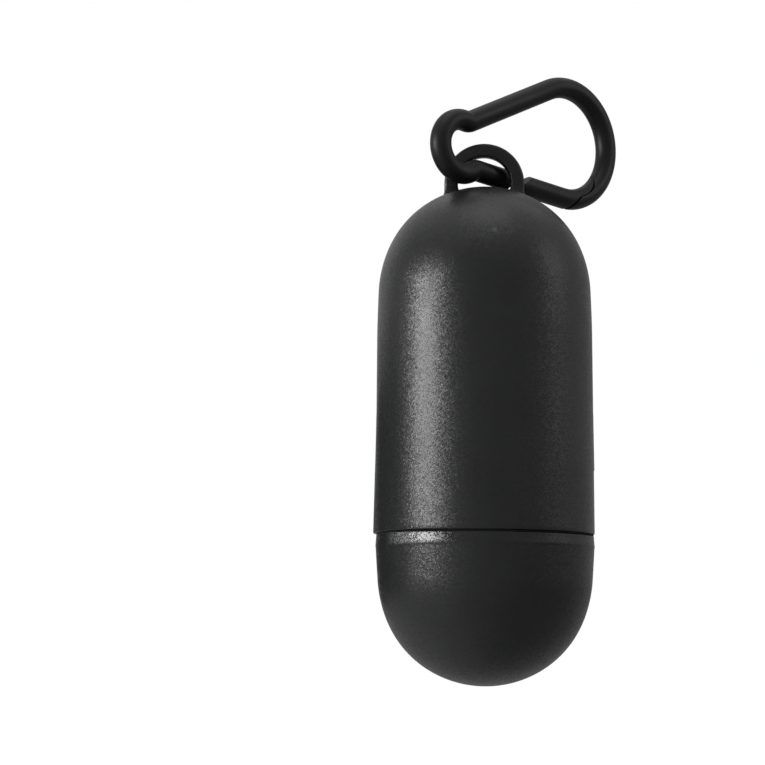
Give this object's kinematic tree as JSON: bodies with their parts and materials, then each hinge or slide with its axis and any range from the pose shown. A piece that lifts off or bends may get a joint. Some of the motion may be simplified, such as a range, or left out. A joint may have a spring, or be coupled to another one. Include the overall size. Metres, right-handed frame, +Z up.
{
  "type": "dog waste bag dispenser",
  "caption": "Black capsule with a screw cap that holds a roll of bags and hangs by a moulded loop from a small snap hook, with a bag exit at the back.",
  "frame": {"origin": "leash seat: the middle of the inner face of the snap hook's big end, where a leash ring bears", "axes": "+Z up along the capsule's axis towards the loop, +X to the right of the plain front, +Y to the back, where the bag exit is"},
  "size_m": [0.0485, 0.044, 0.1201],
  "materials": {
    "shell_plastic": "pebble grained black injection moulded plastic",
    "cap_plastic": "pebble grained black injection moulded plastic, slightly glossier at the rim",
    "hook_paint": "satin black coating on die cast metal",
    "gate_paint": "satin black coating on die cast metal",
    "pin_steel": "plain steel",
    "plunger_steel": "plain steel",
    "spring_steel": "spring steel wire",
    "core_board": "spiral wound board",
    "bag_film": "grey polythene film, wound tight and slightly wrinkled"
  },
  "bodies": {
    "hook": {"carabiner_frame": "hook_paint"},
    "gate": {"carabiner_gate": "gate_paint", "gate_pin": "pin_steel", "gate_spring": "spring_steel"},
    "plunger": {"gate_plunger": "plunger_steel"},
    "shell": {"main_shell": "shell_plastic"},
    "core": {"roll_core": "core_board"},
    "roll": {"bag_roll": "bag_film"},
    "cap": {"end_cap": "cap_plastic"}
  },
  "joints": [
    {"name": "capsule_swing", "type": "hinge", "parent": "hook", "child": "shell", "pos_m": [-0.02375, -0.01993, -0.01054], "axis": [0.766, 0.6428, 0], "range_deg": [-35, 35]},
    {"name": "gate_pivot", "type": "hinge", "parent": "hook", "child": "gate", "pos_m": [-0.01754, -0.01472, -0.01136], "axis": [0.6428, -0.766, 0], "range_deg": [0, 25], "stiffness_Nm_per_rad": 0.05, "springref_deg": -20.05, "deforming": ["gate_spring"]},
    {"name": "plunger_slide", "type": "slide", "parent": "gate", "child": "plunger", "axis": [0.7621, 0.6395, -0.101], "range_m": [0, 0.0003]},
    {"name": "cap_off", "type": "slide", "parent": "shell", "child": "core", "axis": [0, 0, -1], "range_m": [0, 0.06]},
    {"name": "cap_turn", "type": "hinge", "parent": "core", "child": "cap", "pos_m": [-0.02375, -0.01993, -0.10839], "axis": [0, 0, -1], "range_deg": [0, 450]},
    {"name": "roll_spin", "type": "hinge", "parent": "core", "child": "roll", "pos_m": [-0.02375, -0.01993, -0.10839], "axis": [0, 0, 1], "continuous": true}
  ],
  "couplings": [
    {"joint": "plunger_slide", "follows": "gate_pivot", "m_per_rad": 0.0005}
  ]
}
